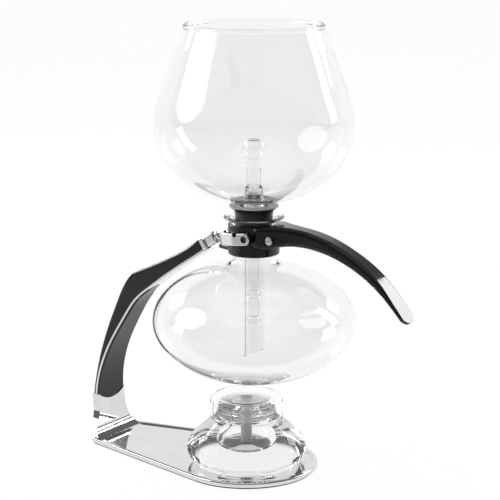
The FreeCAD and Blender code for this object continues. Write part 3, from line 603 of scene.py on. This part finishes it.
def burner_glass():
    """Thick pressed bottle with a ringed neck and a bell-shaped well."""
    z = BOTTLE_Z
    wide_z = z + 11
    foot = rounded([(0, z), (FOOT_R, z), (FOOT_R, z + 2.8), (BOTTLE_R - 1.2, z + 6.5), (BOTTLE_R, wide_z)],
                   [1.4, 1.0, 2.5])
    shoulder = bezier([(BOTTLE_R, wide_z), (BOTTLE_R, z + 21), (36, 31.5), (SHOULDER_R, SHOULDER_Z)], 26)
    neck = rounded([(SHOULDER_R, SHOULDER_Z), (25.2, 41.9), (GROOVE_R, 41.9), (GROOVE_R, 44.6),
                    (RING_R, 44.6), (RING_R, 47.6), (LIP_GROOVE_R, 47.6), (LIP_GROOVE_R, 49.4),
                    (COLLAR_R, 49.4), (COLLAR_R, MOUTH_Z), (MOUTH_R, MOUTH_Z)],
                   [1.5, 0.5, 0.9, 0.9, 0.9, 0.6, 0.6, 0.4, 1.4])
    bell = rounded([(MOUTH_R, MOUTH_Z), (MOUTH_R, 33), (18.8, 24), (WELL_R, WELL_Z + 3),
                    (16, WELL_Z), (0, WELL_Z)], [7.0, 5.0, 3.0, 3.0], 8)
    outline = joined(foot, shoulder, neck, bell)
    mesh = lathe("burner_glass", outline, BURNER_X, change=pressed(0.25, 0.09))
    piece = new_piece("burner_glass", mesh, "burner", "burner_glass", "burner_bottle")
    finish_with(piece, "burner_glass")


def cap_glass():
    """Snuffer cap: a pressed cup that stands over the neck upside down."""
    in_r, in_z = CAP_R - CAP_T, CAP_HIGH - CAP_TOP_T
    outer = rounded([(0, CAP_HIGH), (CAP_R, CAP_HIGH), (CAP_R, CAP_LOW), (in_r, CAP_LOW)],
                    [4.5, 0.8], 10)
    inner = rounded([(in_r, CAP_LOW), (in_r, in_z), (0, in_z)], [3.2], 10)
    mesh = lathe("cap_glass", joined(outer, inner), BURNER_X, change=pressed(0.12, 0.12))
    piece = new_piece("cap_glass", mesh, "cap", "burner_glass", "snuffer_cap")
    finish_with(piece, "burner_glass")


def wick_cord():
    """Braided cord: a turned core with a raised diamond braid and a frayed top."""

    def braid(x, y, z, angle):
        r = math.hypot(x, y)
        if r < 0.5:
            return x, y, z
        lay = 0.22 * (abs(math.sin(angle * 6 + z * 2.1)) + abs(math.sin(angle * 6 - z * 2.1)) - 1.2)
        fray = 0.15 * noise.noise(Vector((x * 3, y * 3, z)))
        grow = 1 + (min(0.0, lay - 0.1) + min(0.0, fray)) / r
        return x * grow, y * grow, z

    low, high, count = WICK_LOW_Z + 0.3, MOUTH_Z + 2.9, 120
    steps = [(WICK_R, low + (high - low) * i / count) for i in range(count + 1)]
    outline = joined([(0, WICK_LOW_Z), (WICK_R - 0.45, WICK_LOW_Z)], steps,
                     [(WICK_R - 0.65, high + 0.4), (0, high + 0.5)])
    piece = new_piece("wick_cord", lathe("wick_cord", outline, BURNER_X, 72, braid), "wick_unit",
                      "wick_cotton", "wick")
    finish_with(piece, "wick_cotton")


# ---------------------------------------------------------------- bung

def bung_rubber():
    """Stopper with a thin flaring lip, a mould ridge and three sealing ribs."""
    low, high = PLUG_LOW_Z, BUNG_TOP_Z
    waist = bung_r(202)
    bore = STEM_R + 0.02
    ribs = []
    for z in (187.0, 191.0, 195.0):
        ribs += [(bung_r(z) - 0.02, z - 0.9), (bung_r(z) - 0.32, z), (bung_r(z) - 0.02, z + 0.9)]
    side = [(bung_r(low) - 0.5, low), (bung_r(low), low + 0.6)] + ribs + [(waist, 202), (waist, 204.0)]
    flare = bezier([(waist, 204.6), (waist + 0.2, 208.6), (18.2, 209.4), (18.9, 210.2)], 12)
    lip = rounded([(18.9, 210.2), (19.1, 210.6), (19.1, high), (15, high)], [0.2, 0.35], 4)
    top = [(STEM_R + 3.8, high - 0.05), (bore + 0.1, high - 4.2), (bore, high - 4.6), (bore, low + 0.2)]
    outline = joined(side, flare, lip, top, [(bore + 0.3, low)])
    piece = new_piece("bung_rubber", lathe("bung_rubber", outline), "funnel", "bung_rubber", "bung")
    finish_with(piece, "bung_rubber")


# ---------------------------------------------------------------- CAD pieces that stay

def dress_frame_nodes():
    slots = {entry["node"]: entry["material_slot"] for entry in frame["record"]["subparts"]}
    for name, obj in nodes.items():
        finish_with(obj, slots[name])


# ---------------------------------------------------------------- stage

def floor():
    """A wide pale table that glows like lit paper, less so in front of the brewer."""
    mesh = bpy.data.meshes.new("floor")
    bm = bmesh.new()
    bmesh.ops.create_circle(bm, cap_ends=True, radius=14.0, segments=96)
    bm.to_mesh(mesh)
    bm.free()
    table = bpy.data.objects.new("floor", mesh)
    table.location.z = -0.0002
    bpy.context.scene.collection.objects.link(table)
    s = Shader("floor_paper", Roughness=0.9)
    grain = s.noise(30, 3, 0.5)
    s.link(s.colours(grain, (0.3, (0.075, 0.075, 0.075)), (0.7, (0.085, 0.085, 0.085))), "Base Color")
    a = math.radians(CAMERA_AZIMUTH)
    ahead = s.node("ShaderNodeVectorMath", operation="DOT_PRODUCT")
    s.tree.links.new(s.coords, ahead.inputs[0])
    ahead.inputs[1].default_value = (math.sin(a), -math.cos(a), 0)
    glow = s.remap(ahead.outputs["Value"], 0.08, 0.40, 0.94, 0.40)
    s.main.inputs["Specular IOR Level"].default_value = 0.0
    s.main.inputs["Emission Strength"].default_value = 1.0
    s.link(glow, "Emission Color")
    mesh.materials.append(s.material)


def world():
    """A lit backdrop behind the brewer that fades upwards, and a dim room on the camera's side."""
    made = bpy.data.worlds.new("studio")
    made.use_nodes = True
    tree = made.node_tree
    coords = tree.nodes.new("ShaderNodeTexCoord").outputs["Generated"]
    split = tree.nodes.new("ShaderNodeSeparateXYZ")
    tree.links.new(coords, split.inputs["Vector"])
    a = math.radians(CAMERA_AZIMUTH)
    dot = tree.nodes.new("ShaderNodeVectorMath")
    dot.operation = "DOT_PRODUCT"
    tree.links.new(coords, dot.inputs[0])
    dot.inputs[1].default_value = (-math.sin(a), math.cos(a), 0)

    def ramp(value, low, high, to_low, to_high):
        made_range = tree.nodes.new("ShaderNodeMapRange")
        made_range.interpolation_type = "SMOOTHSTEP"
        tree.links.new(value, made_range.inputs["Value"])
        for socket, number in zip(("From Min", "From Max", "To Min", "To Max"),
                                  (low, high, to_low, to_high)):
            made_range.inputs[socket].default_value = number
        return made_range.outputs["Result"]

    behind = ramp(dot.outputs["Value"], 0.10, 0.65, 0.0, 1.0)
    low = ramp(split.outputs["Z"], 0.42, 0.62, 1.0, 0.0)
    both = tree.nodes.new("ShaderNodeMath")
    both.operation = "MULTIPLY"
    tree.links.new(behind, both.inputs[0])
    tree.links.new(low, both.inputs[1])
    ceiling = ramp(split.outputs["Z"], 0.72, 0.95, 0.0, 0.35)
    total = tree.nodes.new("ShaderNodeMath")
    tree.links.new(ramp(both.outputs["Value"], 0.0, 1.0, 0.16, 1.0), total.inputs[0])
    tree.links.new(ceiling, total.inputs[1])
    tree.links.new(total.outputs["Value"], tree.nodes["Background"].inputs["Color"])
    bpy.context.scene.world = made


def softbox(name, azimuth, elevation, distance, size, power, round_shape=False):
    """Area light that faces the brewer's middle; azimuth 0 is on the -Y side, 90 on +X."""
    data = bpy.data.lights.new(name, "AREA")
    data.shape = "DISK" if round_shape else "RECTANGLE"
    data.size = size[0]
    if not round_shape:
        data.size_y = size[1]
    data.energy = power
    lamp = bpy.data.objects.new(name, data)
    a, e = math.radians(azimuth), math.radians(elevation)
    away = Vector((math.sin(a) * math.cos(e), -math.cos(a) * math.cos(e), math.sin(e)))
    lamp.location = Vector((0, 0, 0.18)) + away * distance
    lamp.rotation_euler = (-away).to_track_quat("-Z", "Y").to_euler()
    bpy.context.scene.collection.objects.link(lamp)


def sun(azimuth, elevation, strength, spread):
    data = bpy.data.lights.new("overhead", "SUN")
    data.energy = strength
    data.angle = math.radians(spread)
    lamp = bpy.data.objects.new("overhead", data)
    a, e = math.radians(azimuth), math.radians(elevation)
    away = Vector((math.sin(a) * math.cos(e), -math.cos(a) * math.cos(e), math.sin(e)))
    lamp.rotation_euler = (-away).to_track_quat("-Z", "Y").to_euler()
    bpy.context.scene.collection.objects.link(lamp)


def camera():
    """The photographer's place: right of the front, a little above the rim."""
    distance, height, pitch, sideways = 1.295, 0.463, 12.5, 0.003
    data = bpy.data.cameras.new("camera")
    data.sensor_width = 36.0
    data.lens = 123.84
    a = math.radians(CAMERA_AZIMUTH)
    cam = bpy.data.objects.new("camera", data)
    cam.location = (distance * math.sin(a) - sideways * math.cos(a),
                    -distance * math.cos(a) - sideways * math.sin(a), height)
    cam.rotation_euler = (math.radians(90 - pitch), 0, a)
    bpy.context.scene.collection.objects.link(cam)
    bpy.context.scene.camera = cam


# ---------------------------------------------------------------- build

camera()
dress_frame_nodes()
decanter_glass()
funnel_glass()
filter_glass_rod()
burner_glass()
cap_glass()
wick_cord()
bung_rubber()

floor()
world()
softbox("left_octabox", CAMERA_AZIMUTH - 88, 28, 1.7, (1.25, 1.25), 9, True)
softbox("right_strip", CAMERA_AZIMUTH + 104, 22, 1.9, (0.36, 1.2), 5)
softbox("back_right", CAMERA_AZIMUTH + 124, 23, 1.9, (0.42, 0.46), 7)
softbox("back_left", CAMERA_AZIMUTH - 131, 25, 1.9, (0.60, 0.50), 14)
sun(CAMERA_AZIMUTH - 30, 70, 0.3, 60)

scene = bpy.context.scene
scene.view_settings.view_transform = "Standard"
scene.cycles.max_bounces = 24
scene.cycles.transmission_bounces = 24
scene.cycles.glossy_bounces = 8
